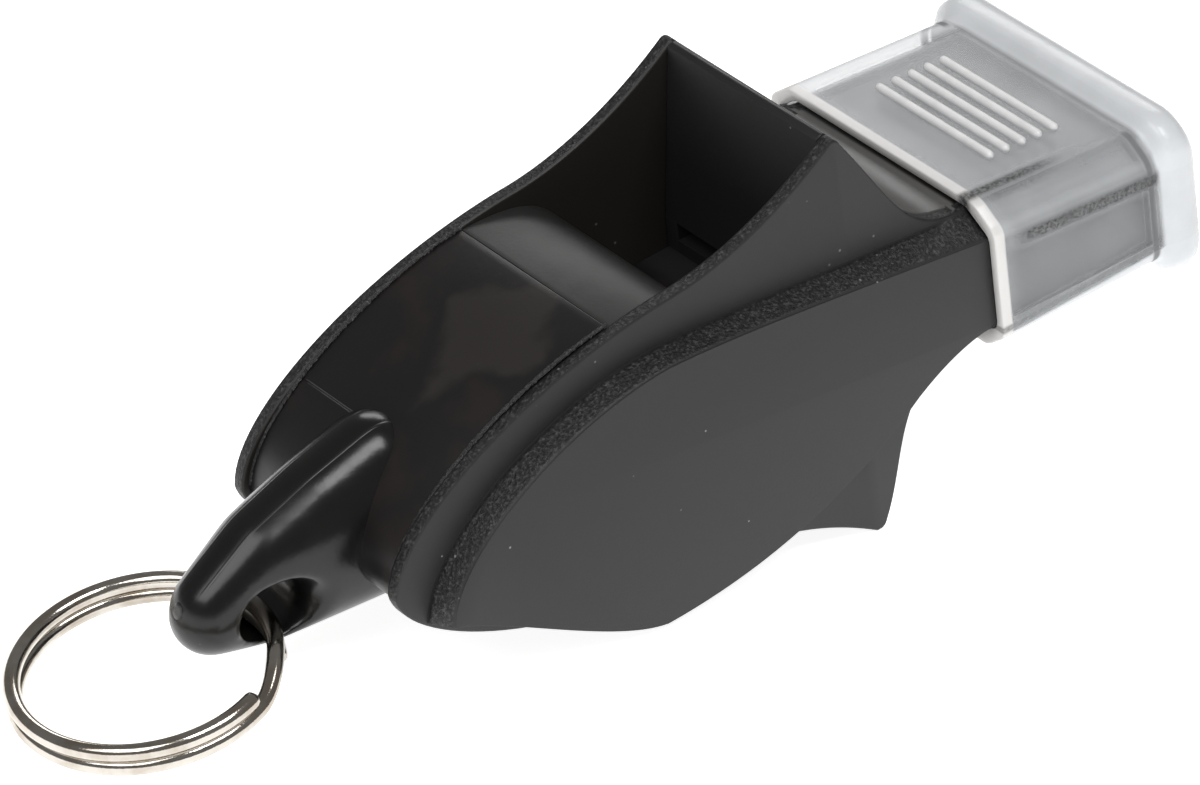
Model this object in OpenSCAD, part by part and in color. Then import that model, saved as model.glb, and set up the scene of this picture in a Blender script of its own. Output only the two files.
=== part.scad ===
// Pealess two-chamber sports whistle with a soft mouth cover and a split ring.
// Millimetres. Design axes: X toward the mouth, Y to the left, Z up; the finished part is
// tipped by rest_tilt so that it lies on its lower fins and ring with Z up.

/* [Body] */
// Half width of the core between the two side shells
core_half = 6.3; // [4:0.1:9]
// Thickness of each side shell's fin plate
fin_wall = 0.9; // [0.6:0.05:1.5]
// How far the leaf panel stands out from the fin plate
leaf_rise = 1.75; // [1:0.1:4]
// Height of the upper fin tip above the chamber web
fin_peak = 12.85; // [8:0.05:18]
// Height of the chamber web above the design origin
mid_z = 2.65; // [0:0.05:5]
// Wall of the drum and of the lips
drum_wall = 1.3; // [0.8:0.1:2.5]
// Place of the seams between the drum and the lips
seam_x = -5.7; // [-10:0.1:0]
// Thickness of the web between the chambers
web = 1.0; // [0.6:0.1:2]

/* [Mouthpiece] */
// Where the mouth cover starts
cover_front_x = 17.4; // [14:0.1:22]
// End of the mouthpiece
mouth_end_x = 29.3; // [24:0.1:34]
// Half width of the mouthpiece where the cover starts
mouth_half = 8.95; // [6:0.05:12]
// Half width of each windway
windway_half = 5.3; // [3:0.1:6]
// Height of each windway where it opens into the horn
windway_exit = 1.15; // [0.7:0.05:2]
// Height of each windway at the mouth
windway_entry = 1.3; // [0.7:0.05:2]
// Step down from the leaf panel to the mouthpiece inside the cover
mouth_step = 0.1; // [0.05:0.05:0.4]
// Width of the slant along the mouthpiece's long edges
mouth_slant = 1.85; // [0.5:0.1:3]

/* [Mouth cover] */
// Clearance between the cover and the mouthpiece
cover_gap = 0.1; // [0.05:0.05:0.4]
// Wall of the cover
cover_wall = 0.55; // [0.5:0.05:1.5]
// End of the cover
cover_end_x = 31.2; // [30:0.1:35]
// How far the end bead stands out at the sides
bead_out = 0.45; // [0.3:0.05:1.5]
// How much further it stands out above and below
bead_lift = 0.4; // [0:0.05:1]
// Number of grip ribs on the cover
rib_count = 5; // [3:1:7]
// Spacing of the grip ribs
rib_pitch = 1.12; // [0.8:0.02:1.6]

/* [Lug and ring] */
// Centre of the ring hole, along the body
hole_x = -25.8; // [-28:0.1:-23]
// Centre of the ring hole, height
hole_z = 1.15; // [0:0.05:5]
// Radius of the ring hole
hole_r = 1.65; // [1.2:0.05:2.5]
// Height of the ring's wire in the hole
wire_z = 0.5; // [0:0.05:5]
// Half thickness of the lug at the ring hole
lug_half = 2.9; // [2:0.1:4]
// Outside diameter of the split ring
ring_od = 14.8; // [10:0.1:20]
// Diameter of the ring's wire
ring_wire = 0.95; // [0.5:0.05:1.2]
// Angle of the ring below the body's axis
ring_drop = 2.5; // [-10:0.5:60]

/* [Rest] */
// Angle that the body is tipped up by as it lies
rest_tilt = 10.5; // [0:0.1:20]

/* [Hidden] */
$fn = 72;
eps = 0.01;
leaf_half = core_half + fin_wall + leaf_rise;
fin_half = core_half + fin_wall;
peak_z = mid_z + fin_peak;
tip_z = mid_z - fin_peak;
// The part's box in the tipped pose: its bottom centre is the origin
box_mid_x = -4.191;
box_low_z = -8.367;

black = [0.07, 0.07, 0.075];
milky = [0.85, 0.87, 0.88, 0.6];
steel = [0.75, 0.74, 0.72];

// ---------- curves ----------

function bez_at(c, t) = pow(1 - t, 3) * c[0] + 3 * t * pow(1 - t, 2) * c[1]
    + 3 * t * t * (1 - t) * c[2] + pow(t, 3) * c[3];

function bez(c, n = 10) = [for (i = [0:n - 1]) bez_at(c, i / n)];

// One run of points from a list of curves, each ending where the next begins
function run(curves, n = 10) = [for (c = curves) each bez(c, n)];

function flip(points) = [for (p = points) [p[0], 2 * mid_z - p[1]]];

function back(points) = [for (i = [len(points) - 1:-1:0]) points[i]];

function less_last(points) = [for (i = [0:len(points) - 2]) points[i]];

// ---------- side outlines, [x, z] ----------

crest_rise = 8.85;
tail = [-21.4, 2.3];
crest = [-2.5, mid_z + crest_rise];
low_crest = [-2.5, mid_z - crest_rise];
fin_foot = [cover_front_x, 7.0];
mouth_top_z = 5.75;
mouth_low_z = -1.5;
mouth_low_front = [cover_front_x, -1.0];

tail_up = [tail, [-20.9, 6.6], [-12.0, 10.9], crest];
fin_rise = [crest, [1.5, 11.6], [5.6, 13.2], [9.0, peak_z]];
fin_tip = [[9.0, peak_z], [9.3, peak_z + 0.2], [9.6, peak_z], [9.75, peak_z - 0.4]];
fin_back = [[9.75, peak_z - 0.4], [12.9, 9.9], [13.4, 7.0], fin_foot];
low_front = [mouth_low_front, [11.4, -1.4], [12.0, -6.2], [10.2, tip_z + 0.5]];
low_tip = [[10.2, tip_z + 0.5], [10.0, tip_z], [9.8, tip_z - 0.05], [9.4, tip_z]];
low_rise = [[9.4, tip_z], [5.6, -7.5], [2.0, -6.3], low_crest];
tail_low = [low_crest, [-13.0, -5.6], [-21.2, -0.6], tail];

fin_outline = concat(
    run([tail_up, fin_rise], 14), run([fin_tip], 4), run([fin_back]),
    [fin_foot, [mouth_end_x, mouth_top_z], [mouth_end_x, mouth_low_z]],
    run([low_front]), run([low_tip], 4), run([low_rise, tail_low]));

leaf_tail = [-19.2, 0.3];
leaf_top = [-4.0, 8.8];
leaf_low = [-5.0, -6.75];
side_top_front = [cover_front_x, 5.8];
side_low_front = [cover_front_x, 0.25];
side_top_z = 4.55;
side_low_z = -0.25;

// Leaf panel at its outer face, then at its foot on the fin plate, which is a little larger
leaf_face = concat(
    run([[leaf_tail, [-18.7, 4.7], [-10.4, 8.75], leaf_top],
         [leaf_top, [0.5, 8.6], [7.5, 7.4], side_top_front]]),
    [side_top_front, side_low_front],
    back(run([[leaf_low, [1.0, -6.6], [6.5, -5.0], [11.8, -1.6]],
              [[11.8, -1.6], [13.6, -0.5], [15.5, 0.25], side_low_front]])),
    less_last(back(run([[leaf_tail, [-16.5, -0.4], [-10.2, -5.8], leaf_low]]))));

foot_inset = 0.04;
leaf_foot_tail = [-19.8, 0.0];
leaf_foot_top = [-4.0, 9.1];
leaf_foot_low = [-5.0, -6.9];

leaf_foot = concat(
    run([[leaf_foot_tail, [-19.3, 4.8], [-10.8, 9.0], leaf_foot_top],
         [leaf_foot_top, [0.8, 9.0], [7.6, 7.9], fin_foot]]),
    [fin_foot - [0, foot_inset], mouth_low_front + [0, foot_inset]],
    back(run([[leaf_foot_low, [1.0, -6.8], [6.6, -5.4], [12.0, -2.3]],
              [[12.0, -2.3], [13.8, -1.5], [15.5, -1.05], mouth_low_front]])),
    less_last(back(run([[leaf_foot_tail, [-17.0, -0.9], [-10.8, -6.1], leaf_foot_low]]))));

// The side of the mouthpiece, let into the leaf panel's front end
let_in = 0.6;
mouth_face = [[cover_front_x - let_in, side_top_front[1] - 0.1], [mouth_end_x, side_top_z],
              [mouth_end_x, side_low_z], [cover_front_x - let_in, side_low_front[1] + 0.1]];
mouth_foot = [[cover_front_x - let_in, fin_foot[1] - 0.1],
              [mouth_end_x - foot_inset, mouth_top_z - foot_inset],
              [mouth_end_x - foot_inset, mouth_low_z + foot_inset],
              [cover_front_x - let_in, mouth_low_front[1] + 0.1]];

// Hollow behind the leaf panel, which widens both chambers
pocket_outline = concat(
    run([[[-17.6, 1.2], [-16.9, 4.4], [-9.8, 7.5], [-4.0, 7.6]],
         [[-4.0, 7.6], [0.0, 7.6], [3.4, 6.4], [3.6, mid_z]],
         [[3.6, mid_z], [3.4, -1.6], [0.0, -5.3], [-4.6, -5.4]],
         [[-4.6, -5.4], [-9.2, -5.2], [-14.6, -0.4], [-17.6, 1.2]]]));

drum_front = seam_x - 0.02;
drum_crest = [drum_front, mid_z + 8.5];
drum_low_crest = [drum_front, mid_z - 8.3];
drum_tail = [-21.0, 2.3];
drum_tail_in = [-19.7, 2.3];

drum_outer = concat(run([[drum_tail, [-20.6, 6.4], [-12.4, 10.5], drum_crest]], 24), [drum_crest]);
drum_inner = concat(run([[drum_tail_in, [-19.3, 5.7], [-11.8, 9.2], drum_crest - [0, drum_wall]]], 24),
                    [drum_crest - [0, drum_wall]]);
drum_low_outer = concat(run([[drum_tail, [-20.9, -0.2], [-13.4, -4.9], drum_low_crest]], 24),
                        [drum_low_crest]);
drum_low_inner = concat(run([[drum_tail_in, [-19.5, 0.8], [-12.8, -3.7],
                              drum_low_crest + [0, drum_wall]]], 24),
                        [drum_low_crest + [0, drum_wall]]);

// ---------- helpers ----------

// Slab of a side outline between two distances along Y
module slab(outline, y_from, y_to) {
    translate([0, y_to, 0])
        rotate([90, 0, 0])
            linear_extrude(height = y_to - y_from)
                polygon(outline);
}

// Solid between two outlines with the same number of points
module loft(outline_a, y_a, outline_b, y_b) {
    n = len(outline_a);
    points = concat([for (p = outline_a) [p[0], y_a, p[1]]], [for (p = outline_b) [p[0], y_b, p[1]]]);
    sides = [for (i = [0:n - 1]) each [[i, n + i, n + (i + 1) % n], [i, n + (i + 1) % n, (i + 1) % n]]];
    cap_a = [[for (i = [0:n - 1]) i]];
    cap_b = [[for (i = [n - 1:-1:0]) n + i]];
    polyhedron(points = points, faces = concat(cap_a, cap_b, sides));
}

// Everything drawn in design axes is set down in the tipped pose by this
module at_rest() {
    translate([-box_mid_x, 0, -box_low_z])
        rotate([0, -rest_tilt, 0])
            children();
}

// ---------- whistle core ----------

module drum_shell(outer, inner) {
    slab(concat(outer, back(inner)), -core_half, core_half);
}

module chamber_web() {
    slab([[-20.2, mid_z - web / 2], [9.0, mid_z - web / 2], [9.0, mid_z + web / 2],
          [-20.2, mid_z + web / 2]], -core_half, core_half);
}

mouth_mid_z = (mouth_top_z + mouth_low_z) / 2;
exit_x = 7.35;
exit_roof = mid_z + web / 2 + 0.85 + windway_exit;
exit_floor = 2 * mid_z - exit_roof;
entry_roof = mouth_mid_z + 0.6 + windway_entry;
entry_floor = mouth_mid_z - 0.6 - windway_entry;

module upper_horn_wall() {
    slab(concat([[exit_x, exit_roof], [8.85, peak_z - 0.05]], run([fin_tip], 4), run([fin_back]),
                [fin_foot, [mouth_end_x, mouth_top_z], [mouth_end_x, entry_roof]]),
         -core_half, core_half);
}

module lower_horn_wall() {
    slab(concat([[exit_x, exit_floor], [mouth_end_x, entry_floor], [mouth_end_x, mouth_low_z]],
                run([low_front]), run([low_tip], 4), [[8.85, tip_z + 0.05]]),
         -core_half, core_half);
}

module tube_side(side) {
    y_from = side > 0 ? windway_half : -core_half;
    slab([[exit_x, exit_floor - eps], [mouth_end_x, entry_floor - eps],
          [mouth_end_x, entry_roof + eps], [exit_x, exit_roof + eps]],
         y_from, y_from + core_half - windway_half);
}

// Lug: a nose that narrows from the drum to its tip, rounded in every section
module lug_ball(x, z, r) {
    translate([x, 0, z])
        sphere(r = r, $fn = 32);
}

module lug_nose() {
    hull() {
        lug_ball(-28.35, 1.5, 2.1);
        lug_ball(-28.2, 2.1, 1.9);
        lug_ball(-24.6, 3.9, 2.1);
        lug_ball(-25.2, 1.5, lug_half);
        lug_ball(-21.0, 5.3, 1.9);
        lug_ball(-17.1, 6.4, 1.75);
        lug_ball(-17.6, 3.4, 3.3);
        lug_ball(-18.5, 1.7, 3.5);
    }
}

// The ring's hole: a bore with a second one beside it that makes it longer, both flared
module ring_hole() {
    for (x = [hole_x, hole_x + 0.7]) {
        translate([x, 0, hole_z])
            rotate([90, 0, 0])
                cylinder(h = 12, r = hole_r, center = true);
        for (side = [-1, 1])
            translate([x, side * (lug_half + 0.1), hole_z + 0.1])
                rotate([side * 90, 0, 0])
                    cylinder(h = 1.3, r1 = hole_r + 0.75, r2 = hole_r);
    }
}

module lug() {
    difference() {
        lug_nose();
        ring_hole();
        slab(concat(drum_inner, [[0, mid_z]], back(drum_low_inner)), -8, 8);
    }
}

module whistle_core() {
    color(black)
        at_rest()
            union() {
                drum_shell(drum_outer, drum_inner);
                drum_shell(drum_low_outer, drum_low_inner);
                chamber_web();
                upper_horn_wall();
                lower_horn_wall();
                tube_side(1);
                tube_side(-1);
                lug();
            }
}

// ---------- side shells ----------

module side_shell() {
    difference() {
        union() {
            slab(fin_outline, core_half, fin_half);
            loft(leaf_foot, fin_half - foot_inset, leaf_face, leaf_half);
            loft(mouth_foot, fin_half - 2 * foot_inset, mouth_face, leaf_half - mouth_step);
        }
        slab(pocket_outline, core_half - 1, leaf_half - 1.2);
    }
}

module left_side() {
    color(black)
        at_rest()
            side_shell();
}

module right_side() {
    color(black)
        at_rest()
            mirror([0, 1, 0])
                side_shell();
}

// ---------- lips ----------

edge_x = 3.6;
edge_z = mid_z + web / 2 + 0.85 + windway_exit / 2;

lip_outline = concat(
    run([[[seam_x, mid_z + 8.4], [-2.4, mid_z + 8.4], [-0.4, mid_z + 7.9], [0.7, mid_z + 5.6]]]),
    [[0.7, mid_z + 5.6], [edge_x, edge_z]],
    back(run([[[seam_x, mid_z + 7.1], [-3.0, mid_z + 7.1], [-1.6, mid_z + 6.7],
               [-0.6, mid_z + 5.1]]])));

module upper_lip() {
    color(black)
        at_rest()
            slab(lip_outline, -core_half, core_half);
}

module lower_lip() {
    color(black)
        at_rest()
            slab(flip(lip_outline), -core_half, core_half);
}

// ---------- windway blocks ----------

block_front_x = 9.03;
mid_gap = 0.02;

module upper_windway_block() {
    color(black)
        at_rest()
            slab([[block_front_x, mid_z + mid_gap], [mouth_end_x, mouth_mid_z + mid_gap],
                  [mouth_end_x, entry_roof - windway_entry], [exit_x, exit_roof - windway_exit],
                  [exit_x, mid_z + web / 2], [block_front_x, mid_z + web / 2]],
                 -windway_half, windway_half);
}

module lower_windway_block() {
    color(black)
        at_rest()
            slab([[block_front_x, mid_z - mid_gap], [block_front_x, mid_z - web / 2],
                  [exit_x, mid_z - web / 2], [exit_x, exit_floor + windway_exit],
                  [mouth_end_x, entry_floor + windway_entry], [mouth_end_x, mouth_mid_z - mid_gap]],
                 -windway_half, windway_half);
}

// ---------- mouth cover ----------

// Eight-sided section of the mouthpiece, grown by grow on every side
module mouth_section(x, top, low, half, slant, grow, thick = 0.02) {
    drop = 1.15 - slant * 0.4 - grow * 0.6;
    side = half + grow;
    flat = half - slant + grow * 0.6;
    translate([x, 0, 0])
        rotate([90, 0, 90])
            linear_extrude(height = thick)
                polygon([[side, low + drop], [side, top - drop],
                         [flat, top + grow], [-flat, top + grow],
                         [-side, top - drop], [-side, low + drop],
                         [-flat, low - grow], [flat, low - grow]]);
}

module cover_body(grow, x_from, x_to, lift = 0) {
    slope_top = (mouth_top_z - fin_foot[1]) / (mouth_end_x - cover_front_x);
    slope_low = (mouth_low_z - mouth_low_front[1]) / (mouth_end_x - cover_front_x);
    hull() {
        for (x = [x_from, x_to - 0.02])
            mouth_section(x, fin_foot[1] + slope_top * (x - cover_front_x) + lift,
                          mouth_low_front[1] + slope_low * (x - cover_front_x) - lift,
                          mouth_half - mouth_step, mouth_slant, grow);
    }
}

module end_bead() {
    hull() {
        cover_body(cover_gap + cover_wall, 28.2, 28.4);
        cover_body(cover_gap + cover_wall + bead_out, 29.7, cover_end_x - 0.6, bead_lift);
        cover_body(cover_gap + cover_wall + bead_out - 0.5, 29.7, cover_end_x, bead_lift);
    }
}

module ribs() {
    slope_top = (mouth_top_z - fin_foot[1]) / (mouth_end_x - cover_front_x);
    for (i = [0:rib_count - 1]) {
        x = 21.25 + i * rib_pitch;
        z = fin_foot[1] + slope_top * (x - cover_front_x) + cover_gap + cover_wall;
        translate([x, 0, z])
            rotate([90, 0, 0])
                cylinder(h = 9.6, r = 0.26, center = true, $fn = 24);
    }
}

module mouth_cover() {
    color(milky)
        at_rest()
            difference() {
                union() {
                    cover_body(cover_gap + cover_wall, cover_front_x, 29.0);
                    end_bead();
                    ribs();
                }
                cover_body(cover_gap, cover_front_x - 1, mouth_end_x + 0.3);
                cover_body(-0.9, mouth_end_x, cover_end_x + 1);
            }
}

// ---------- split ring ----------

module split_ring() {
    mean_r = (ring_od - ring_wire) / 2;
    color(steel)
        at_rest()
            translate([hole_x, 0, wire_z])
                rotate([0, -ring_drop, 0])
                    translate([-mean_r, 0, 0])
                        for (coil = [-1, 1])
                            translate([0, 0, coil * (ring_wire / 2 - 0.02)])
                                rotate_extrude($fn = 96)
                                    translate([mean_r, 0])
                                        circle(d = ring_wire, $fn = 24);
}

whistle_core();
right_side();
left_side();
upper_lip();
lower_lip();
upper_windway_block();
lower_windway_block();
mouth_cover();
split_ring();
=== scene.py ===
"""Looks of a pealess two-chamber whistle with a soft mouth cover and a split ring.

Outlines are in millimetres in the whistle's own axes (X to the mouth, Y left, Z up) and
lie() sets them down in the frame's metres, tipped as the whistle lies on its lower fins.
"""

import math

import bmesh
import bpy
import numpy as np
from mathutils import Matrix, Vector


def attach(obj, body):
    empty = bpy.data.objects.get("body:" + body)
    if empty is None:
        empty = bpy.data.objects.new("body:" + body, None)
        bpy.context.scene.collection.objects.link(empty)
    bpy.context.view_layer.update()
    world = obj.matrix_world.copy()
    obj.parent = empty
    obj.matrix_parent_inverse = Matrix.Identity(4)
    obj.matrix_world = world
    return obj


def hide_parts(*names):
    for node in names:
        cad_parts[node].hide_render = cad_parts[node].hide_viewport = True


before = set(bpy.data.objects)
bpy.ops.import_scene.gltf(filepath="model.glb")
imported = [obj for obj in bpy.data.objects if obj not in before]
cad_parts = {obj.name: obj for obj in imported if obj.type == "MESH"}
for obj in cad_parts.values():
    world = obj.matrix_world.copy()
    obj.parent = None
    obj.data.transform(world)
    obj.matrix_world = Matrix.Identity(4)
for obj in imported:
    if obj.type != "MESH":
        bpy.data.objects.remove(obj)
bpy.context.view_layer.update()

# ---------- sizes, in millimetres ----------

MM = 0.001
REST_TILT = math.radians(10.5)
LIE_X, LIE_Z = 4.191, 8.367    # from the whistle's own origin to the frame's

CORE_HALF = 6.3
FIN_HALF = 7.2
LEAF_HALF = 8.95
MID_Z = 2.65
FIN_PEAK = 12.85
PEAK_Z, TIP_Z = MID_Z + FIN_PEAK, MID_Z - FIN_PEAK
SEAM_X = -5.7                  # where the drum ends and the lips begin
WEB = 1.0

COVER_FRONT = 17.4
MOUTH_END = 29.3
MOUTH_HALF = 8.85
MOUTH_TOP = (7.0, 5.75)
MOUTH_LOW = (-1.0, -1.5)
MOUTH_SLOPE = (MOUTH_TOP[0] - MOUTH_TOP[1]) / (MOUTH_END - COVER_FRONT)
WINDWAY_HALF = 5.3
WINDWAY_TALL = 1.15
WINDWAY_LOW = MID_Z + WEB / 2 + 0.85    # the upper windway's floor at its exit
DRUM_PARTING_X = -16.8

COVER_IN, COVER_OUT = 0.1, 0.65
COVER_END = 31.2
BEAD_X = 28.5
BEAD_LIFT = 0.4
RIBS = 5
RIB_PITCH = 1.12
FIRST_RIB_X = 21.25
RIB_LENGTH, RIB_R = 9.8, 0.26

HOLE = (-25.6, 1.15)
WIRE_Z = 0.5                   # the ring's mid plane where it passes the lug
RING_DROP = math.radians(2.5)
RING_WIRE = 0.95
RING_R = 6.925
RING_IN_HOLE_X = -25.8

ROUND_ABOVE = math.radians(32)    # edges sharper than this are rounded


def lie(x, y, z):
    """A point in the whistle's own millimetres, as the frame's metres."""
    c, s = math.cos(REST_TILT), math.sin(REST_TILT)
    return Vector(((c * x - s * z + LIE_X) * MM, y * MM, (s * x + c * z + LIE_Z) * MM))


# ---------- curves ----------

def bez(a, b, c, d, n=28):
    """Points of a cubic curve, without its last."""
    a, b, c, d = (np.array(p, float) for p in (a, b, c, d))
    t = (np.arange(n) / n)[:, None]
    points = (1 - t) ** 3 * a + 3 * t * (1 - t) ** 2 * b + 3 * t * t * (1 - t) * c + t ** 3 * d
    return [tuple(p) for p in points]


def mirrored(points):
    """The same outline below the web."""
    return [(x, 2 * MID_Z - z) for x, z in points]


def smooth_step(t):
    """0 below 0 and 1 above 1, with a soft change between them."""
    t = min(1.0, max(0.0, t))
    return t * t * (3 - 2 * t)


CREST, LOW_CREST = (-2.5, MID_Z + 8.85), (-2.5, MID_Z - 8.85)
TAIL = (-21.4, 2.3)
FIN_FOOT = (COVER_FRONT, MOUTH_TOP[0])
MOUTH_LOW_FRONT = (COVER_FRONT, MOUTH_LOW[0])

fin_tip = bez((9.0, PEAK_Z), (9.3, PEAK_Z + 0.2), (9.6, PEAK_Z), (9.75, PEAK_Z - 0.4), 8)
fin_back = bez((9.75, PEAK_Z - 0.4), (12.9, 9.9), (13.4, 7.0), FIN_FOOT)
low_front = bez(MOUTH_LOW_FRONT, (11.4, -1.4), (12.0, -6.2), (10.2, TIP_Z + 0.5))
low_tip = bez((10.2, TIP_Z + 0.5), (10.0, TIP_Z), (9.8, TIP_Z - 0.05), (9.4, TIP_Z), 8)
mouth_end_up = [FIN_FOOT, (MOUTH_END, MOUTH_TOP[1])]
fin_outline = (bez(TAIL, (-20.9, 6.6), (-12.0, 10.9), CREST) +
               bez(CREST, (1.5, 11.6), (5.6, 13.2), (9.0, PEAK_Z)) + fin_tip + fin_back +
               mouth_end_up + [(MOUTH_END, MOUTH_LOW[1])] + low_front + low_tip +
               bez((9.4, TIP_Z), (5.6, -7.5), (2.0, -6.3), LOW_CREST) +
               bez(LOW_CREST, (-13.0, -5.6), (-21.2, -0.6), TAIL))

leaf_face = (bez((-19.2, 0.3), (-18.7, 4.7), (-10.4, 8.75), (-4.0, 8.8)) +
             bez((-4.0, 8.8), (0.5, 8.6), (7.5, 7.4), (COVER_FRONT, 5.8)) +
             [(COVER_FRONT, 5.8), (COVER_FRONT + 0.02, 0.25)] +
             bez((COVER_FRONT, 0.25), (15.5, 0.25), (13.6, -0.5), (11.8, -1.6)) +
             bez((11.8, -1.6), (6.5, -5.3), (0.5, -6.9), (-6.0, -6.85)) +
             bez((-6.0, -6.85), (-9.6, -6.2), (-16.3, -0.6), (-19.2, 0.3)))
leaf_foot = (bez((-19.8, 0.0), (-19.3, 4.8), (-10.8, 9.0), (-4.0, 9.1)) +
             bez((-4.0, 9.1), (0.8, 9.0), (7.6, 7.9), (COVER_FRONT, 6.96)) +
             [(COVER_FRONT, 6.96), (COVER_FRONT + 0.02, -0.96)] +
             bez((COVER_FRONT, -0.96), (15.5, -1.05), (13.8, -1.5), (12.0, -2.3)) +
             bez((12.0, -2.3), (6.6, -5.7), (0.5, -7.1), (-6.0, -7.0)) +
             bez((-6.0, -7.0), (-10.2, -6.5), (-16.8, -1.0), (-19.8, 0.0)))

drum_crest, drum_low_crest = (SEAM_X - 0.03, MID_Z + 8.5), (SEAM_X - 0.03, MID_Z - 8.3)
drum_outer = bez((-21.0, 2.3), (-20.6, 6.4), (-12.4, 10.5), drum_crest, 40) + [drum_crest]
drum_low_outer = bez((-21.0, 2.3), (-20.9, -0.2), (-13.4, -4.9), drum_low_crest, 40)
drum_low_outer.append(drum_low_crest)


# ---------- meshes ----------

def finished(mesh_maker, name, body, material, replaces=(), *, bevel=0.0, smooth=35, steps=3):
    """A piece from a bmesh: normals outwards, edges rounded, in place, riding on its body."""
    bmesh.ops.remove_doubles(mesh_maker, verts=mesh_maker.verts, dist=1e-7)
    bmesh.ops.recalc_face_normals(mesh_maker, faces=mesh_maker.faces)
    mesh = bpy.data.meshes.new(name)
    mesh_maker.to_mesh(mesh)
    mesh_maker.free()
    piece = bpy.data.objects.new(name, mesh)
    bpy.context.scene.collection.objects.link(piece)
    if bevel:
        rounding = piece.modifiers.new("rounding", "BEVEL")
        rounding.width = bevel * MM
        rounding.segments = steps
        rounding.limit_method = "ANGLE"
        rounding.angle_limit = ROUND_ABOVE
        rounding.miter_outer = "MITER_ARC"
        bake_modifiers(piece)
    settle(piece, body, material, replaces, smooth=smooth)


def bake_modifiers(piece):
    """Turns a piece's modifiers into its mesh."""
    graph = bpy.context.evaluated_depsgraph_get()
    made = bpy.data.meshes.new_from_object(piece.evaluated_get(graph))
    piece.modifiers.clear()
    old, piece.data = piece.data, made
    made.name = piece.name
    bpy.data.meshes.remove(old)


def settle(piece, body, material, replaces=(), *, smooth):
    """Shading, material and body of a piece whose mesh is done."""
    mesh = piece.data
    for face in mesh.polygons:
        face.use_smooth = True
    mesh.set_sharp_from_angle(angle=math.radians(smooth))
    mesh.materials.clear()
    mesh.materials.append(material)
    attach(piece, body)
    if replaces:
        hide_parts(*replaces)


def add_slab(maker, outline, y_from, y_to):
    """A slab of a side outline between two distances along Y."""
    ends = [[maker.verts.new(lie(x, y, z)) for x, z in outline] for y in (y_from, y_to)]
    add_skin(maker, ends)
    for end in ends:
        maker.faces.new(end)


def add_skin(maker, rings, closed=False):
    """Quads between rings of vertices that have the same count."""
    pairs = list(zip(rings, rings[1:])) + ([(rings[-1], rings[0])] if closed else [])
    for low, high in pairs:
        n = len(low)
        for i in range(n):
            maker.faces.new((low[i], low[(i + 1) % n], high[(i + 1) % n], high[i]))


def add_loft(maker, sections):
    """A closed solid through (outline, y) sections with the same number of points."""
    rings = [[maker.verts.new(lie(x, y, z)) for x, z in outline] for outline, y in sections]
    add_skin(maker, rings)
    maker.faces.new(rings[0])
    maker.faces.new(rings[-1])


# ---------- shader maths ----------

def plug(tree, socket, value):
    """Links a wire or an output to a socket, or sets the socket to a constant."""
    if isinstance(value, Wire):
        value = value.socket
    if isinstance(value, bpy.types.NodeSocket):
        tree.links.new(value, socket)
    else:
        socket.default_value = value


def add_node(tree, kind, settings=None, values=None):
    """A node with its settings, then the values or links of its sockets, by name or number."""
    made = tree.nodes.new(kind)
    for name, value in (settings or {}).items():
        setattr(made, name, value)
    for key, value in (values or {}).items():
        plug(tree, made.inputs[key], value)
    return made


class Wire:
    """A shader socket that adds Math nodes when it is used in an expression."""

    def __init__(self, tree, socket):
        self.tree, self.socket = tree, socket

    def maths(self, operation, *values):
        made = add_node(self.tree, "ShaderNodeMath", {"operation": operation}, dict(enumerate(values)))
        return Wire(self.tree, made.outputs[0])

    def __add__(self, other):
        return self.maths("ADD", self, other)

    def __radd__(self, other):
        return self.maths("ADD", other, self)

    def __sub__(self, other):
        return self.maths("SUBTRACT", self, other)

    def __rsub__(self, other):
        return self.maths("SUBTRACT", other, self)

    def __mul__(self, other):
        return self.maths("MULTIPLY", self, other)

    def __rmul__(self, other):
        return self.maths("MULTIPLY", other, self)

    def size(self):
        return self.maths("ABSOLUTE", self)

    def larger(self, other):
        return self.maths("MAXIMUM", self, other)

    def at_most(self, limit):
        return self.maths("MINIMUM", self, limit)

    def above(self, low, high):
        """0 below low and 1 above high, with a soft change between them."""
        made = add_node(self.tree, "ShaderNodeMapRange", {"interpolation_type": "SMOOTHSTEP"},
                        {"Value": self, "From Min": low, "From Max": high})
        return Wire(self.tree, made.outputs[0])

    def below(self, low, high):
        """1 below low and 0 above high."""
        return 1 - self.above(low, high)

    def near(self, centre, inner, outer):
        """1 within inner of the centre and 0 past outer."""
        return (self - centre).size().below(inner, outer)


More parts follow.
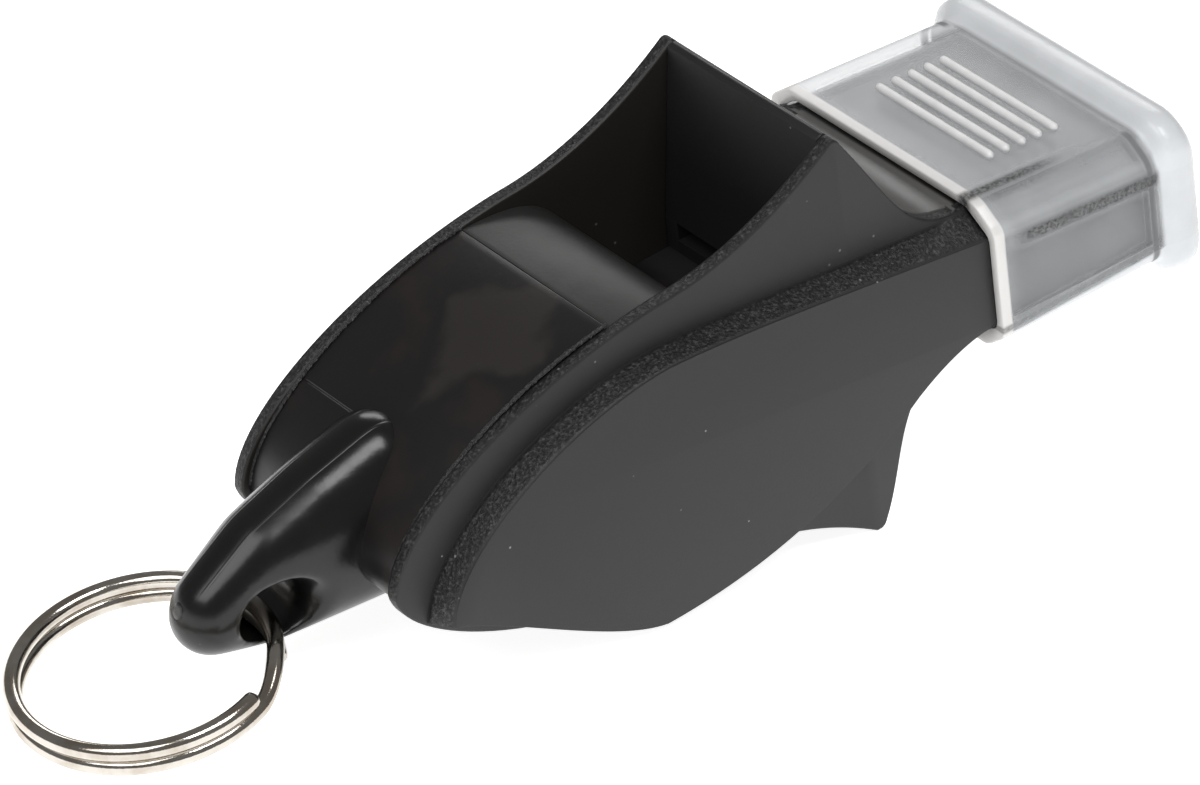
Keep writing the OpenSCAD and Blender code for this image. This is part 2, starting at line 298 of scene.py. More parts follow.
class Finish:
    """A material under construction: its Principled shader and the nodes that feed it.

    Its x, y and z run in millimetres along the whistle's own axes.
    """

    def __init__(self, name, **constants):
        self.material = bpy.data.materials.new(name)
        self.material.use_nodes = True
        self.tree = self.material.node_tree
        self.shader = next(n for n in self.tree.nodes if n.type == "BSDF_PRINCIPLED")
        self.set(**constants)
        self.place = self.node("ShaderNodeTexCoord", out="Object")
        split = add_node(self.tree, "ShaderNodeSeparateXYZ", None, {0: self.place})
        x, self.y, z = (Wire(self.tree, o) * (1 / MM) for o in split.outputs)
        c, s = math.cos(REST_TILT), math.sin(REST_TILT)
        x, z = x - LIE_X, z - LIE_Z
        self.x = x * c + z * s
        self.z = z * c - x * s

    def set(self, **values):
        """Sets or links the shader's sockets, named with _ for a space."""
        for name, value in values.items():
            plug(self.tree, self.shader.inputs[name.replace("_", " ")], value)

    def node(self, kind, settings=None, out=0, **values):
        """One output of a new node, with its sockets named in the same way."""
        named = {name.replace("_", " "): value for name, value in values.items()}
        return Wire(self.tree, add_node(self.tree, kind, settings, named).outputs[out])

    def noise(self, millimetres, detail=3.0, roughness=0.55):
        """Noise from 0 to 1 whose features are about that large."""
        return self.node("ShaderNodeTexNoise", Vector=self.place, Scale=1 / (millimetres * MM),
                         Detail=detail, Roughness=roughness)

    def specks(self, spacing, size, share):
        """1 in small dots about spacing apart and size across, in mm, on a share of the cells."""
        cells = add_node(self.tree, "ShaderNodeTexVoronoi", None,
                         {"Vector": self.place, "Scale": 1 / (spacing * MM)})
        middle = Wire(self.tree, cells.outputs["Distance"])
        pick = add_node(self.tree, "ShaderNodeSeparateColor", None, {0: cells.outputs["Color"]})
        chosen = Wire(self.tree, pick.outputs[0]).above(1 - share, 1 - share + 0.02)
        return middle.below(size / spacing * 0.35, size / spacing * 0.6) * chosen

    def distance_to(self, point):
        """Millimetres from a point of the frame."""
        made = add_node(self.tree, "ShaderNodeVectorMath", {"operation": "DISTANCE"},
                        {0: self.place, 1: point})
        return Wire(self.tree, made.outputs["Value"]) * (1 / MM)

    def mix(self, factor, low, high):
        """A colour between low and high; a colour mix has these at its sockets 6 and 7."""
        made = add_node(self.tree, "ShaderNodeMix", {"data_type": "RGBA"},
                        {"Factor": factor, 6: low, 7: high})
        return Wire(self.tree, made.outputs[2])

    def bump(self, height, millimetres):
        """Surface relief: height from 0 to 1 stands for that many millimetres."""
        return self.node("ShaderNodeBump", Height=height, Distance=millimetres * MM, Strength=1.0)


def grey(value, warm=0.0):
    """A grey with a little warmth, as a colour."""
    return (value * (1 + warm), value, value * (1 - warm), 1.0)


# ---------- finishes ----------

def core_plastic():
    """Polished black ABS of the drum and the horns, with the seams of its moulding, a painted reflection
    patch on the drum, a painted sheen on the mouthpiece's roof and painted shade in the horns.
    """
    f = Finish("black_abs_polished", IOR=1.5, Specular_IOR_Level=0.42)
    broad = f.noise(6, 2)
    cloud = f.noise(3.5, 3)
    fine = f.noise(0.35, 4)
    scuff = f.specks(1.1, 0.10, 0.10)
    dust = f.specks(2.6, 0.12, 0.22)
    # Painted sheen: the mouthpiece's roof between the fins and the cover is painted a lighter grey.
    roof = f.x.above(9.2, 13.0) * f.x.below(COVER_FRONT - 0.3, COVER_FRONT)
    # Painted shade: deep in the horns the black is painted darker; the roughness is raised there too.
    shaded_horn = f.x.above(4.5, 6.0) * f.x.below(8.95, 9.3)
    seam = f.x.near(DRUM_PARTING_X, 0.02, 0.07) * f.y.above(-0.6, 0.2) * f.z.above(4, 6)
    warm = cloud.above(0.45, 0.72)
    # Painted reflection: a lighter warm patch on the drum's top, its edge broken up by the cloud noise.
    reflection_distance = (f.x + 9.5).size() * 0.8 + (f.y + 1.5).size() + (cloud - 0.5) * 6
    reflection_patch = reflection_distance.below(2.6, 4.2) * f.z.above(6, 8)
    black = f.mix(warm, (0.0052, 0.0050, 0.0052, 1), (0.0105, 0.0076, 0.0068, 1))
    black = f.mix(reflection_patch, black, (0.0175, 0.0150, 0.0138, 1))
    black = f.mix(shaded_horn, black, grey(0.0035))
    black = f.mix(roof, black, grey(0.075, 0.02))
    black = f.mix(seam, black, grey(0.004))
    spots = (scuff + dust * 0.7).at_most(1.0)
    f.set(Base_Color=f.mix(spots, black, grey(0.14, 0.05)),
          Roughness=0.26 + broad * 0.10 + fine * 0.06 + scuff * 0.3 + shaded_horn * 0.34,
          Normal=f.bump(broad * 0.8 + fine * 0.15 - seam * 0.8, 0.04))
    return f.material


def lip_plastic():
    """The lips' slightly duller black, with a painted reflection that makes it lighter toward the drum."""
    f = Finish("black_abs_lip", IOR=1.5, Specular_IOR_Level=0.36)
    broad = f.noise(4, 2)
    fine = f.noise(0.25, 4)
    # Painted reflection: toward the drum the black is painted lighter, mottled by this noise.
    sheen_mottle = f.noise(1.4, 3).above(0.35, 0.7) * 0.35 + 0.65
    f.set(Base_Color=f.mix(f.x.below(-2.6, 1.4) * sheen_mottle, grey(0.010, 0.04), grey(0.022, 0.02)),
          Roughness=0.36 + broad * 0.06 + fine * 0.06,
          Normal=f.bump(broad * 0.7 + fine * 0.3, 0.025))
    return f.material


def lug_plastic():
    """The lug's gloss, with the mould's parting lines along its ridge and its gate's nub."""
    f = Finish("black_abs_lug", IOR=1.5, Specular_IOR_Level=0.40)
    broad = f.noise(3, 2)
    fine = f.noise(0.3, 4)
    line = f.y.size().near(0.85, 0.03, 0.10) * f.z.above(3.2, 4.2)
    nub = f.distance_to(lie(-30.0, 0.1, 2.6)).below(0.25, 0.5)
    dust = f.specks(1.8, 0.09, 0.25)
    black = f.mix(line, f.mix(broad, grey(0.004), grey(0.0065)), grey(0.014))
    f.set(Base_Color=f.mix((dust * 0.6 + nub * 0.5).at_most(1.0), black, grey(0.10)),
          Roughness=0.17 + broad * 0.08 + fine * 0.05 + nub * 0.2,
          Normal=f.bump(broad * 0.6 + fine * 0.1 + line * 0.2 + nub * 1.5, 0.06))
    return f.material


def side_plastic():
    """Matte black ABS of the side shells: fine grain, stippled flanks and rims, dust."""
    f = Finish("black_abs_matte", IOR=1.5, Specular_IOR_Level=0.34)
    broad = f.noise(7, 3)
    grain = f.noise(0.09, 3, 0.7)
    stipple = f.noise(0.2, 3, 0.65)
    across = f.y.size()
    flank = across.above(FIN_HALF + 0.05, FIN_HALF + 0.25) * across.below(LEAF_HALF - 0.30, LEAF_HALF - 0.08)
    rim = across.above(CORE_HALF + 0.08, CORE_HALF + 0.2) * across.below(FIN_HALF - 0.12, FIN_HALF - 0.03)
    inner = across.below(CORE_HALF + 0.04, CORE_HALF + 0.1)
    rough_skin = flank.larger(rim)
    panel = across.above(LEAF_HALF - 0.08, LEAF_HALF - 0.02)
    dust = f.specks(1.6, 0.14, 0.16)
    lint = f.specks(4.5, 0.26, 0.25)
    marks = f.specks(0.6, 0.16, 0.4) * f.noise(3.2, 2).above(0.52, 0.62) * (1 - panel)
    pale = f.mix(broad.above(0.3, 0.75), grey(0.0140), grey(0.0175))
    pale = f.mix(panel, pale, grey(0.0130))
    pale = f.mix(inner, pale, grey(0.012, 0.10))
    pale = f.mix(rough_skin * stipple.above(0.48, 0.76), pale, grey(0.062))
    pale = f.mix(rough_skin * stipple.below(0.30, 0.62), pale, grey(0.004))
    spots = (dust * 0.7 + lint * 0.9 + marks * 0.4).at_most(1.0)
    f.set(Base_Color=f.mix(spots, pale, grey(0.32)),
          Roughness=0.44 + grain * 0.12 - rough_skin * 0.04 - inner * 0.08,
          Normal=f.bump(grain * 0.25 + rough_skin * stipple * 2.8, 0.035))
    return f.material


def flash_plastic():
    """Rough squeezed-out weld along the rims."""
    f = Finish("black_abs_flash", IOR=1.5)
    lumps = f.noise(0.2, 4, 0.7)
    f.set(Base_Color=f.mix(lumps.above(0.5, 0.78), grey(0.012), grey(0.10)),
          Roughness=0.35 + lumps * 0.2,
          Normal=f.bump(lumps, 0.15))
    return f.material


def cover_plastic():
    """Milky translucent soft plastic, whiter at its front rim, its edges and its end bead, with a painted
    sheen along its near top edge.

    Its dark streaks are where the wall lies against the black mouthpiece inside it; the dark arc at the foot
    of the end bead is painted shade.
    """
    f = Finish("milky_soft_plastic", IOR=1.45)
    cloud = f.noise(3, 3)
    fine = f.noise(0.3, 3)
    frost = f.noise(0.22, 3, 0.7).above(0.25, 0.70) * 0.3 + 0.7
    height = f.z + (f.x - COVER_FRONT) * MOUTH_SLOPE
    front = f.x.below(COVER_FRONT + 0.55, COVER_FRONT + 0.75)
    lip = f.x.below(COVER_FRONT + 0.8, COVER_FRONT + 1.6)
    end = f.x.above(BEAD_X, BEAD_X + 0.4)
    top = height.above(5.9, 6.9)
    right = f.y.below(0, 1)
    far = f.y.above(6.5, 7.5)
    hem = f.z.below(-0.50, -0.20) * f.y.below(-7, -6)
    # Painted highlight: a whiter, more opaque sheen along the near top edge.
    sheen = height.near(6.35, 0.10, 0.60) * f.y.below(-7.6, -7.2)
    upper = f.y.near(-7.10, 0.15, 0.75) * height.above(5, 6) * f.x.below(21.5, 26.5)
    lower = height.near(5.45, 0.20, 0.85) * f.x.above(17.6, 20.0) * right
    under = f.z.near(0.05, 0.08, 0.35) * right
    # Painted shade: a dark arc in the crease at the foot of the end bead, on both sides.
    bead_foot_shade = f.x.near(28.2, 0.10, 0.40) * f.y.size().above(6.9, 7.6)
    streak = upper.larger(lower).larger(under * 0.7) * frost
    streak = streak.larger(bead_foot_shade * 0.75) * (1 - end)
    body = 0.14 + cloud * 0.08 + top * 0.12 + lip * 0.08 + sheen * 0.20 + far * 0.35
    solid = body + hem * 0.75 + streak * 0.60 + front * 0.72 + end * 0.75
    milk = f.mix(cloud, grey(0.56, -0.03), grey(0.68, -0.03))
    milk = f.mix(front, milk, grey(0.64, 0.02))
    milk = f.mix(streak, milk, grey(0.03))
    f.set(Base_Color=milk,
          Alpha=solid.at_most(0.96),
          Roughness=0.20 + fine * 0.10 + streak * 0.4,
          Normal=f.bump(cloud * 0.7 + fine * 0.3, 0.05))
    return f.material


def rib_plastic():
    """The cover's ribs, where its plastic is thicker and whiter."""
    f = Finish("milky_soft_plastic_rib", IOR=1.45)
    cloud = f.noise(1, 3)
    f.set(Base_Color=f.mix(cloud, grey(0.74), grey(0.84)),
          Alpha=0.75 + cloud * 0.2,
          Roughness=0.3 + cloud * 0.1)
    return f.material


def ring_metal():
    """Nickel plate with fine scratches and a warm haze."""
    f = Finish("nickel_plate", Metallic=1.0)
    haze = f.noise(2.2, 3)
    scratch = f.noise(0.18, 3, 0.7)
    f.set(Base_Color=f.mix(haze.above(0.35, 0.7), (0.55, 0.52, 0.475, 1), (0.40, 0.355, 0.30, 1)),
          Roughness=0.06 + haze * 0.06 + scratch * 0.06,
          Normal=f.bump(scratch * 0.4 + haze * 0.6, 0.012))
    return f.material


def floor_paint():
    """The pale floor, lit from within so that it stays white."""
    f = Finish("pale_floor", Roughness=0.9, Specular_IOR_Level=0.1)
    f.set(Base_Color=f.mix(f.noise(60, 2), grey(0.86), grey(0.90)),
          Emission_Color=grey(1.0), Emission_Strength=0.90)
    return f.material


gloss = core_plastic()
lip_black = lip_plastic()
lug_black = lug_plastic()
matte = side_plastic()
flash_black = flash_plastic()
milky = cover_plastic()
rib_white = rib_plastic()
nickel = ring_metal()


# ---------- side shells ----------

def side_shell(side, name, node):
    """Fin plate and raised leaf panel of one side, -1 for the right and 1 for the left."""
    maker = bmesh.new()
    add_slab(maker, fin_outline, side * CORE_HALF, side * FIN_HALF)
    finished(maker, name, "whistle", matte, [node], bevel=0.14)
    maker = bmesh.new()
    add_loft(maker, [(leaf_foot, side * (FIN_HALF - 0.05)), (leaf_face, side * LEAF_HALF)])
    finished(maker, name + "_leaf_panel", "whistle", matte, bevel=0.28, steps=4)


side_shell(-1, "right_fin_plate", "right_side")
side_shell(1, "left_fin_plate", "left_side")


# ---------- core ----------

EXIT_X = 7.35
MOUTH_MID = (MOUTH_TOP[1] + MOUTH_LOW[1]) / 2
EXIT_ROOF = WINDWAY_LOW + WINDWAY_TALL
EXIT_FLOOR = 2 * MID_Z - EXIT_ROOF
ENTRY_ROOF, ENTRY_FLOOR = MOUTH_MID + 1.9, MOUTH_MID - 1.9


def drum():
    """Curved outer wall of both chambers, with the web between them."""
    crest, low_crest = (SEAM_X - 0.03, MID_Z + 7.2), (SEAM_X - 0.03, MID_Z - 7.0)
    inner = bez((-19.7, 2.3), (-19.3, 5.7), (-11.8, 9.2), crest, 40) + [crest]
    low_inner = bez((-19.7, 2.3), (-19.5, 0.8), (-12.8, -3.7), low_crest, 40) + [low_crest]
    web_low, web_top = MID_Z - WEB / 2, MID_Z + WEB / 2
    wall = drum_outer[::-1] + drum_low_outer[1:] + low_inner[::-1] + inner[1:]
    web = [(-20.0, web_low), (9.0, web_low), (9.0, web_top), (-20.0, web_top)]
    maker = bmesh.new()
    for outline in (wall, web):
        add_slab(maker, outline, -CORE_HALF, CORE_HALF)
    finished(maker, "drum", "whistle", gloss, ["whistle_core"], bevel=0.08)


def horn_walls():
    """Back walls of the two horns, which run on as the mouthpiece's roof and floor."""
    maker = bmesh.new()
    upper = ([(EXIT_X, EXIT_ROOF), (8.85, PEAK_Z - 0.05)] + fin_tip + fin_back + mouth_end_up +
             [(MOUTH_END, ENTRY_ROOF)])
    lower = ([(EXIT_X, EXIT_FLOOR), (MOUTH_END, ENTRY_FLOOR), (MOUTH_END, MOUTH_LOW[1])] + low_front +
             low_tip + [(8.85, TIP_Z + 0.05)])
    for outline in (upper, lower):
        add_slab(maker, outline, -CORE_HALF, CORE_HALF)
    for side in (-1, 1):
        add_slab(maker, [(EXIT_X, EXIT_FLOOR), (MOUTH_END, ENTRY_FLOOR), (MOUTH_END, ENTRY_ROOF),
                         (EXIT_X, EXIT_ROOF)], side * WINDWAY_HALF, side * CORE_HALF)
    finished(maker, "horn_walls", "whistle", gloss, bevel=0.1)


def mouthpiece():
    """The eight-sided mouthpiece inside the cover, with its chamfered long edges and open end."""
    maker = bmesh.new()
    stations = ((COVER_FRONT - 0.6, -0.03), (COVER_FRONT, -0.03), (MOUTH_END - 0.3, -0.03),
                (MOUTH_END, -0.25))
    rings = [[maker.verts.new(lie(x, y, z)) for y, z in mouth_section(x, grow)] for x, grow in stations]
    for x in (MOUTH_END, MOUTH_END - 6):
        rings.append([maker.verts.new(lie(x, y, z)) for y, z in tube_section(ENTRY_FLOOR, ENTRY_ROOF)])
    add_skin(maker, rings)
    maker.faces.new(rings[0])
    maker.faces.new(rings[-1])
    finished(maker, "mouthpiece", "whistle", gloss)


def corners(points, r, n=6):
    """An outline of (y, z) corners, each rounded with its own arc of n points."""
    out = []
    count = len(points)
    for i, p in enumerate(points):
        p = np.array(p, float)
        a, b = np.array(points[i - 1], float) - p, np.array(points[(i + 1) % count], float) - p
        la, lb = np.linalg.norm(a), np.linalg.norm(b)
        a, b = a / la, b / lb
        half = math.acos(max(-1, min(1, float(a @ b)))) / 2
        cut = min(r / math.tan(half), 0.48 * la, 0.48 * lb)
        start, end = p + a * cut, p + b * cut
        for t in np.linspace(0, 1, n):
            out.append(tuple((1 - t) ** 2 * start + 2 * t * (1 - t) * p + t * t * end))
    return out


def mouth_height(ends, x):
    """The height at x of a face that runs between its heights at the cover's front and the mouth."""
    along = (x - COVER_FRONT) / (MOUTH_END - COVER_FRONT)
    return ends[0] + (ends[1] - ends[0]) * along


def mouth_section(x, grow, lift=0.0, r=0.7):
    """Eight-sided section of the mouthpiece at x, grown on every side."""
    top = mouth_height(MOUTH_TOP, x) + grow + lift
    low = mouth_height(MOUTH_LOW, x) - grow - lift
    half, slant, drop = MOUTH_HALF + grow, 1.85 - grow * 0.4, 1.2
    points = [(half, low + drop), (half, top - drop), (half - slant, top), (slant - half, top),
              (-half, top - drop), (-half, low + drop), (slant - half, low), (half - slant, low)]
    return corners(points, r + grow * 0.5)


def tube_section(low, top):
    """The windways' joint outline, with as many points as a mouthpiece section."""
    half, n = WINDWAY_HALF, 12
    square = [(half, low), (half, top), (-half, top), (-half, low)]
    out = []
    for a, b in zip(square, square[1:] + square[:1]):
        out += [(a[0] + (b[0] - a[0]) * t / n, a[1] + (b[1] - a[1]) * t / n) for t in range(n)]
    return out


def lips():
    """Sloping lips in front of the windways, above and below."""
    edge = (3.6, WINDWAY_LOW + WINDWAY_TALL / 2)
    outer = bez((SEAM_X, MID_Z + 8.4), (-2.4, MID_Z + 8.4), (-0.4, MID_Z + 7.9), (0.7, MID_Z + 5.6))
    inner = bez((SEAM_X, MID_Z + 7.1), (-3.0, MID_Z + 7.1), (-1.6, MID_Z + 6.7), (-0.6, MID_Z + 5.1))
    outline = outer + [(0.7, MID_Z + 5.6), edge, (-0.6, MID_Z + 5.1)] + inner[::-1]
    for name, points in (("upper_lip", outline), ("lower_lip", mirrored(outline))):
        maker = bmesh.new()
        add_slab(maker, points, -CORE_HALF, CORE_HALF)
        finished(maker, name + "_wall", "whistle", lip_black, [name], bevel=0.1)


# Balls of the lug's nose as x, z and radius, and half of its bore as y, half width and half height.
LUG_BALLS = ((-28.35, 1.5, 2.18), (-28.2, 2.0, 2.1), (-24.6, 3.55, 2.6), (-25.2, 1.5, 2.95),
             (-21.0, 4.75, 2.6), (-17.3, 5.6, 2.65), (-17.6, 3.3, 3.8), (-18.5, 1.7, 3.7))
LUG_BORE = ((1.2, 2.0, 1.6), (2.1, 2.25, 1.75), (2.8, 2.65, 1.98), (3.6, 3.3, 2.6), (6, 5.2, 4.4))
SOFTENING = 55


def loose_object(maker, name):
    """An object straight from a bmesh, with its faces outwards, still to be settled."""
    bmesh.ops.recalc_face_normals(maker, faces=maker.faces)
    mesh = bpy.data.meshes.new(name)
    maker.to_mesh(mesh)
    maker.free()
    made = bpy.data.objects.new(name, mesh)
    bpy.context.scene.collection.objects.link(made)
    return made


def lug_nose():
    """The hull of the lug's balls."""
    maker = bmesh.new()
    for x, z, r in LUG_BALLS:
        place = Matrix.Translation(lie(x, 0, z))
        bmesh.ops.create_icosphere(maker, subdivisions=4, radius=r * MM, matrix=place)
    hull = bmesh.ops.convex_hull(maker, input=maker.verts)
    inside = {v for v in hull["geom_interior"] if isinstance(v, bmesh.types.BMVert)}
    bmesh.ops.delete(maker, geom=list(inside), context="VERTS")
    return loose_object(maker, "lug")


def lug_bore():
    """The ring's hole: an oval that flares toward both sides."""
    maker = bmesh.new()
    rings = []
    for y, wide, tall in [(-y, wide, tall) for y, wide, tall in LUG_BORE[::-1]] + list(LUG_BORE):
        x, z = HOLE[0], HOLE[1] + 0.2 * smooth_step((abs(y) - 1) / 2)
        rings.append([maker.verts.new(lie(x + wide * math.cos(a), y, z + tall * math.sin(a)))
                      for a in np.linspace(0, 2 * math.pi, 72, endpoint=False)])
    add_skin(maker, rings)
    maker.faces.new(rings[0])
    maker.faces.new(rings[-1])
    return loose_object(maker, "lug_bore")


def lug():
    """The nose that carries the ring, with the rims of its hole softened."""
    nose, bore = lug_nose(), lug_bore()
    cut = nose.modifiers.new("cut", "BOOLEAN")
    cut.operation, cut.object, cut.solver = "DIFFERENCE", bore, "EXACT"
    remesh = nose.modifiers.new("remesh", "REMESH")
    remesh.mode, remesh.voxel_size = "VOXEL", 0.16 * MM
    soften = nose.modifiers.new("soften", "SMOOTH")
    soften.factor, soften.iterations = 0.5, SOFTENING
    bake_modifiers(nose)
    bpy.data.objects.remove(bore)
    settle(nose, "whistle", lug_black, smooth=60)


drum()
horn_walls()
mouthpiece()
lips()
lug()


# ---------- mouth cover ----------

def cover():
    """The sleeve as one wall: front rim, long body, end bead and the inner skin back again.

    Each station is its x, its growth over the mouthpiece and its extra lift on top and below.
    """
    lift = BEAD_LIFT
    stations = [(COVER_FRONT + 0.03, COVER_IN + 0.02, 0), (COVER_FRONT, COVER_IN + 0.05, 0),
                (COVER_FRONT, COVER_OUT - 0.08, 0), (COVER_FRONT + 0.03, COVER_OUT - 0.02, 0),
                (COVER_FRONT + 0.10, COVER_OUT, 0)]
    stations += [(x, COVER_OUT, 0) for x in np.linspace(18.6, 28.4, 8)]
    for t in np.linspace(0.1, 1, 7):
        flare = smooth_step(t)
        stations.append((BEAD_X + 1.1 * t, COVER_OUT + 0.40 * flare, lift * flare))
    stations += [(30.2, COVER_OUT + 0.45, lift), (30.75, COVER_OUT + 0.36, lift),
                 (31.05, COVER_OUT + 0.18, lift), (COVER_END, COVER_OUT - 0.1, 0.36),
                 (COVER_END, COVER_OUT - 0.5, 0.2), (31.1, COVER_OUT - 0.9, 0), (30.8, -0.55, 0),
                 (29.9, -0.6, 0), (29.62, -0.5, 0), (29.58, -0.2, 0), (29.56, COVER_IN, 0)]
    stations += [(x, COVER_IN, 0) for x in np.linspace(28.4, 18.4, 6)]
    maker = bmesh.new()
    rings = []
    for x, grow, extra in stations:
        corner = 0.7 + 2.6 * smooth_step((x - 28.0) / 1.8)
        rings.append([maker.verts.new(lie(x, y, z)) for y, z in mouth_section(x, grow, extra, corner)])
    add_skin(maker, rings, closed=True)
    finished(maker, "mouth_cover_sleeve", "cover", milky, ["mouth_cover"], smooth=60)


def rib_tree():
    """Nodes for a row of ribs that taper to blunt ends, with their sizes as inputs."""
    tree = bpy.data.node_groups.new("rib_row", "GeometryNodeTree")
    for name, kind in (("Count", "Int"), ("Step", "Vector"), ("Start", "Vector"),
                       ("Length", "Float"), ("Radius", "Float")):
        tree.interface.new_socket(name=name, in_out="INPUT", socket_type="NodeSocket" + kind)
    tree.interface.new_socket(name="Geometry", in_out="OUTPUT", socket_type="NodeSocketGeometry")
    given = add_node(tree, "NodeGroupInput").outputs
    row = add_node(tree, "GeometryNodeMeshLine", None,
                   {"Count": given["Count"], "Offset": given["Step"], "Start Location": given["Start"]})
    halved = add_node(tree, "ShaderNodeMath", {"operation": "MULTIPLY"}, {0: given["Length"], 1: 0.5})
    end = add_node(tree, "ShaderNodeCombineXYZ", None, {"Y": halved.outputs[0]}).outputs[0]
    start = add_node(tree, "ShaderNodeVectorMath", {"operation": "SCALE"}, {0: end, "Scale": -1}).outputs[0]
    spine = add_node(tree, "GeometryNodeCurvePrimitiveLine", None, {"Start": start, "End": end})
    fine = add_node(tree, "GeometryNodeResampleCurve", None, {"Curve": spine.outputs[0], "Count": 60})
    where = add_node(tree, "GeometryNodeSplineParameter").outputs["Factor"]
    taper = add_node(tree, "ShaderNodeFloatCurve", None, {"Value": where})
    points = taper.mapping.curves[0].points
    points[0].location, points[1].location = (0, 0.15), (1, 0.15)
    for spot in ((0.012, 0.75), (0.035, 1), (0.965, 1), (0.988, 0.75)):
        points.new(*spot)
    sized = add_node(tree, "GeometryNodeSetCurveRadius", None,
                     {"Curve": fine.outputs[0], "Radius": taper.outputs[0]})
    ring = add_node(tree, "GeometryNodeCurvePrimitiveCircle", None,
                    {"Resolution": 16, "Radius": given["Radius"]})
    tube = add_node(tree, "GeometryNodeCurveToMesh", None,
                    {"Curve": sized.outputs[0], "Profile Curve": ring.outputs[0], "Fill Caps": True})
    if "Scale" in tube.inputs:
        plug(tree, tube.inputs["Scale"], taper.outputs[0])
    copies = add_node(tree, "GeometryNodeInstanceOnPoints", None,
                      {"Points": row.outputs[0], "Instance": tube.outputs[0]})
    real = add_node(tree, "GeometryNodeRealizeInstances", None, {0: copies.outputs[0]})
    paint = add_node(tree, "GeometryNodeSetMaterial", None, {0: real.outputs[0], "Material": rib_white})
    add_node(tree, "NodeGroupOutput", None, {0: paint.outputs[0]})
    return tree


def cover_ribs():
    """Raised grip ribs across the cover's top, set out by the node tree."""
    tree = rib_tree()
    first, second = (lie(x, 0, mouth_height(MOUTH_TOP, x) + COVER_OUT)
                     for x in (FIRST_RIB_X, FIRST_RIB_X + RIB_PITCH))
    piece = bpy.data.objects.new("cover_ribs", bpy.data.meshes.new("cover_ribs"))
    bpy.context.scene.collection.objects.link(piece)
    modifier = piece.modifiers.new("ribs", "NODES")
    modifier.node_group = tree
    values = {"Count": RIBS, "Step": second - first, "Start": first,
              "Length": RIB_LENGTH * MM, "Radius": RIB_R * MM}
    for item in tree.interface.items_tree:
        if item.in_out == "INPUT" and item.name in values:
            modifier[item.identifier] = values[item.name]
    bake_modifiers(piece)
    settle(piece, "cover", rib_white, smooth=50)


cover()
cover_ribs()


# ---------- split ring ----------

def split_ring():
    """One wire wound twice, crossing from its lower coil to its upper one, with free ends."""
    gap, cross, at = math.radians(17), math.radians(15), math.radians(-52)
    along = np.array([math.cos(RING_DROP), 0, math.sin(RING_DROP)])
    centre = np.array([RING_IN_HOLE_X, 0, WIRE_Z]) - RING_R * along
    left = np.array([0, 1, 0])
    up = np.array([-math.sin(RING_DROP), 0, math.cos(RING_DROP)])
    rise = RING_WIRE / 2 - 0.02
    turns = np.linspace(gap, 4 * math.pi - gap, 420)
    maker = bmesh.new()
    rings = []
    for i, a in enumerate(turns):
        outward = math.cos(a + at) * along + math.sin(a + at) * left
        height = -rise + 2 * rise * smooth_step((a - 2 * math.pi + cross) / (2 * cross))
        from_end = min(i, len(turns) - 1 - i)
        r = RING_WIRE / 2 * (1 - 0.5 * max(0, 1 - from_end / 1.5) ** 2)
        ring = []
        for b in np.linspace(0, 2 * math.pi, 20, endpoint=False):
            p = centre + outward * (RING_R + r * math.cos(b)) + up * (height + r * math.sin(b))
            ring.append(maker.verts.new(lie(*p)))
        rings.append(ring)
    add_skin(maker, rings)
    maker.faces.new(rings[0])
    maker.faces.new(rings[-1])
    finished(maker, "split_ring_wire", "ring", nickel, ["split_ring"], smooth=50)


split_ring()


# ---------- weld flash ----------

def weld_flash():
    """Uneven bead of squeezed-out plastic where each fin plate is welded to the drum."""
    line = [p for p in drum_outer if p[1] > 2.6]
    for side, name in ((-1, "weld_flash_right"), (1, "weld_flash_left")):
        random = np.random.default_rng(5 + side)
        maker = bmesh.new()
        spots = np.linspace(0, len(line) - 1, 260)
        fine_x, fine_z = (np.interp(spots, range(len(line)), [p[i] for p in line]) for i in (0, 1))
        swell = 0.10 + 0.07 * random.random(len(spots))
        rings = []
        for x, z, r in zip(fine_x, fine_z, swell):
            push, lift = 0.05 * random.random(2)
            ring = []
            for a in np.linspace(0, 2 * math.pi, 8, endpoint=False):
                out = r * 0.8 * math.cos(a)
                across = side * (CORE_HALF - 0.02 - push) + r * math.sin(a)
                ring.append(maker.verts.new(lie(x + out * 0.6, across, z + 0.02 + out + lift)))
            rings.append(ring)
        add_skin(maker, rings)
        maker.faces.new(rings[0])
        maker.faces.new(rings[-1])
        finished(maker, name, "whistle", flash_black, smooth=60)


weld_flash()


# ---------- CAD nodes that stay ----------

for name in ("upper_windway_block", "lower_windway_block"):
    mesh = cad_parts[name].data
    mesh.materials.clear()
    mesh.materials.append(gloss)


# ---------- floor, light and camera ----------

# Softboxes as azimuth and elevation in degrees, then distance, width and height in metres, and watts.
LIGHTS = {"key": (-75, 48, 0.55, 0.35, 0.30, 1.3),
          "top": (0, 62, 0.50, 0.24, 0.20, 1.4),
          "rim": (140, 32, 0.50, 0.25, 0.12, 0.38)}
LIGHTS_AIM = Vector((0, 0, 0.012))

VIEW_TURN, VIEW_RISE, VIEW_ROLL = (math.radians(a) for a in (-39.13, 29.93, 2.53))
VIEW_DISTANCE = 479.35 * MM
VIEW_AIM = Vector((2.62, 1.47, 8.63)) * MM
LENS, SENSOR = 270, 36


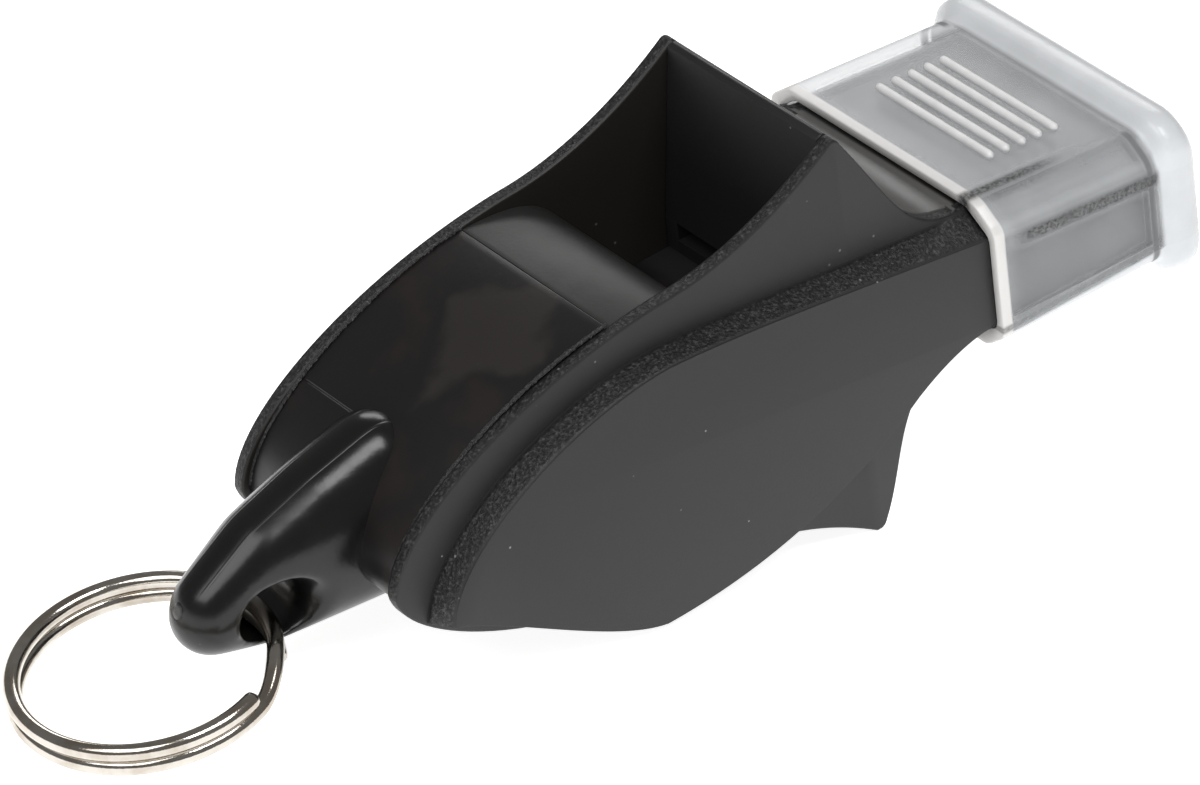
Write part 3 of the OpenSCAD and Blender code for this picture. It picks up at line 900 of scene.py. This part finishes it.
def direction(azimuth, elevation):
    """Unit vector from the whistle toward that azimuth and elevation."""
    return Vector((math.sin(azimuth) * math.cos(elevation), -math.cos(azimuth) * math.cos(elevation),
                   math.sin(elevation)))


def floor():
    """The pale sheet that the whistle lies on."""
    bpy.ops.mesh.primitive_plane_add(size=6)
    sheet = bpy.context.object
    sheet.name = "floor"
    sheet.data.materials.append(floor_paint())


def softbox(name, azimuth, elevation, distance, width, height, power):
    """A soft rectangular light that looks at the whistle from that direction."""
    data = bpy.data.lights.new(name, "AREA")
    data.shape, data.size, data.size_y, data.energy = "RECTANGLE", width, height, power
    lamp = bpy.data.objects.new(name, data)
    bpy.context.scene.collection.objects.link(lamp)
    back = direction(math.radians(azimuth), math.radians(elevation))
    lamp.location = LIGHTS_AIM + back * distance
    lamp.rotation_euler = back.to_track_quat("Z", "Y").to_euler()


def studio():
    """A dim warm surround and the softboxes."""
    world = bpy.data.worlds.new("studio")
    bpy.context.scene.world = world
    world.use_nodes = True
    backdrop = world.node_tree.nodes["Background"]
    backdrop.inputs["Color"].default_value = (1.0, 0.98, 0.96, 1)
    backdrop.inputs["Strength"].default_value = 0.20
    for name, values in LIGHTS.items():
        softbox(name, *values)
    bpy.context.scene.view_settings.view_transform = "Standard"


def camera():
    """Long lens from the right, behind and above, rolled a little."""
    level = Vector((math.cos(VIEW_TURN), math.sin(VIEW_TURN), 0))
    back = direction(VIEW_TURN, VIEW_RISE)
    rise = back.cross(level)
    right = level * math.cos(VIEW_ROLL) + rise * math.sin(VIEW_ROLL)
    up = rise * math.cos(VIEW_ROLL) - level * math.sin(VIEW_ROLL)
    data = bpy.data.cameras.new("camera")
    data.lens, data.sensor_width = LENS, SENSOR
    data.clip_start, data.clip_end = 0.01, 20
    made = bpy.data.objects.new("camera", data)
    bpy.context.scene.collection.objects.link(made)
    turned = Matrix((right, up, back)).transposed().to_4x4()
    made.matrix_world = Matrix.Translation(VIEW_AIM + back * VIEW_DISTANCE) @ turned
    bpy.context.scene.camera = made


floor()
studio()
camera()
